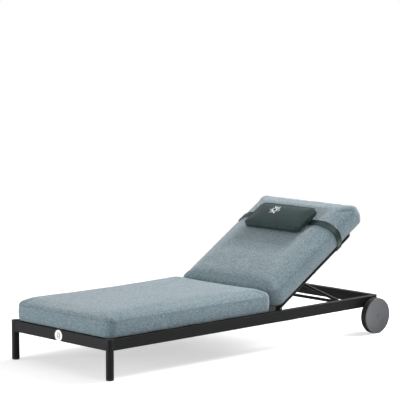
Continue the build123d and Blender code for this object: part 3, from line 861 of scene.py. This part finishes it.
# ---- tyres --------------------------------------------------------------------------------
def tyre(side):
    """A solid tyre: its outside is cut by two grooves round it and by short slots across the shoulders."""
    low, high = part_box(f"tyre_{side}")
    axle_y, axle_z = wheel_centre()
    steps, slots = 288, 48
    across = high[0] - low[0]
    profile = []
    for share in np.linspace(0, 1, 29):
        edge = min(share, 1 - share) * across
        shoulder = 0.004 - math.sqrt(max(0.0, 0.004**2 - max(0.0, 0.004 - edge) ** 2))
        groove = 0.0022 if abs(share - 0.36) < 0.03 or abs(share - 0.64) < 0.03 else 0.0
        profile.append((low[0] + share * across, TYRE_RADIUS - shoulder - groove, share))
    points, faces = [], []
    for step in range(steps):
        turn = 2 * math.pi * step / steps
        in_slot = (step * slots / steps) % 1 < 0.25
        for x, radius, share in profile:
            on_shoulder = share < 0.26 or share > 0.74
            cut = 0.0016 if in_slot and on_shoulder and 0.03 < share < 0.97 else 0.0
            reach = radius - cut
            points.append((x, axle_y + reach * math.cos(turn), axle_z + reach * math.sin(turn)))
        for x in (high[0], low[0]):
            reach = TYRE_SEAT_RADIUS
            points.append((x, axle_y + reach * math.cos(turn), axle_z + reach * math.sin(turn)))
    size = len(profile) + 2
    for step in range(steps):
        after = (step + 1) % steps
        for k in range(size):
            l = (k + 1) % size
            faces.append((step * size + k, step * size + l, after * size + l, after * size + k))
    obj = new_object(f"tread_{side}", points, faces, smooth=False)
    finish_piece(obj, slot_materials["rubber"], f"wheel_{side[0]}")
    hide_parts(f"tyre_{side}")


# ---- stage --------------------------------------------------------------------------------
def floor():
    """A pale floor that fades into the white backdrop a few metres out."""
    made = Nodes("floor", grey(0.72), 0.8, Specular_IOR_Level=0.0, Emission_Color=(1, 1, 1, 1))
    seen = made.add("LightPath").outputs["Is Camera Ray"]
    made.set("Emission Strength", made.math("MULTIPLY", seen, 0.5))
    away = made.add("VectorMath", {0: made.place}, operation="LENGTH").outputs["Value"]
    fade_from, fade_to = 1.5, 3.2
    span = {"From Min": fade_from, "From Max": fade_to, "To Min": 1.0, "To Max": 0.0}
    fade = made.add("MapRange", {"Value": away, **span})
    made.set("Alpha", fade.outputs[0])
    obj = new_object("floor", [(-4, -4, 0), (4, -4, 0), (4, 4, 0), (-4, 4, 0)], [(0, 1, 2, 3)])
    obj.data.materials.append(made.material)


def area_light(name, place, target, size, power):
    light = bpy.data.lights.new(name, "AREA")
    light.shape = "DISK"
    light.size = size
    light.energy = power
    obj = bpy.data.objects.new(name, light)
    obj.location = place
    obj.rotation_euler = (Vector(target) - Vector(place)).to_track_quat("-Z", "Y").to_euler()
    bpy.context.scene.collection.objects.link(obj)


def studio_world():
    """A plain white backdrop, whose light is dimmer than it looks so that the softboxes shape the object."""
    world = bpy.data.worlds.new("studio")
    world.use_nodes = True
    tree = world.node_tree
    background = tree.nodes["Background"]
    direction = tree.nodes.new("ShaderNodeTexCoord").outputs["Generated"]
    facing = tree.nodes.new("ShaderNodeVectorMath")
    facing.operation = "DOT_PRODUCT"
    facing.inputs[1].default_value = Vector((-0.35, 0.25, 0.90)).normalized()
    tree.links.new(direction, facing.inputs[0])
    ramp = tree.nodes.new("ShaderNodeValToRGB")
    ramp.color_ramp.elements[0].position = 0.0
    ramp.color_ramp.elements[0].color = (0.22, 0.22, 0.22, 1)
    ramp.color_ramp.elements[1].position = 0.85
    ramp.color_ramp.elements[1].color = (0.62, 0.62, 0.62, 1)
    tree.links.new(facing.outputs["Value"], ramp.inputs["Fac"])
    rays = tree.nodes.new("ShaderNodeLightPath")
    choice = tree.nodes.new("ShaderNodeMix")
    choice.data_type = "RGBA"
    tree.links.new(rays.outputs["Is Camera Ray"], choice.inputs[0])
    tree.links.new(ramp.outputs["Color"], choice.inputs[6])
    choice.inputs[7].default_value = (1.0, 1.0, 1.0, 1)
    tree.links.new(choice.outputs[2], background.inputs["Color"])
    background.inputs["Strength"].default_value = 1.0
    bpy.context.scene.world = world


def lights():
    area_light("key", (0.8, 4.4, 4.4), (0, 0.0, 0.2), 3.6, 560)
    area_light("front", (-2.6, -5.9, 1.0), (0, 0, 0.3), 3.2, 280)
    area_light("right", (5.5, -1.0, 1.6), (0, 0, 0.3), 3.0, 90)


def camera():
    """The photograph's own viewing angle and distance."""
    azimuth, elevation = math.radians(46.53), math.radians(6.74)
    level = math.cos(elevation)
    back = Vector((math.sin(azimuth) * level, -math.cos(azimuth) * level, math.sin(elevation)))
    data = bpy.data.cameras.new("camera")
    data.sensor_width = 36.0
    data.lens = 180.4
    data.clip_end = 200.0
    obj = bpy.data.objects.new("camera", data)
    obj.location = (7.7438, -7.3711, 2.0492)
    obj.rotation_euler = back.to_track_quat("Z", "Y").to_euler()
    bpy.context.scene.collection.objects.link(obj)
    bpy.context.scene.camera = obj


bpy.context.scene.view_settings.view_transform = "Standard"
dress_cad_nodes()
seat_cushion()
back_surface = back_cushion()
pillow_surface = head_pillow()
strap(back_surface)
pillow_emblem(pillow_surface)
badge_emblem()
for side in ("left", "right"):
    tyre(side)
floor()
studio_world()
lights()
camera()
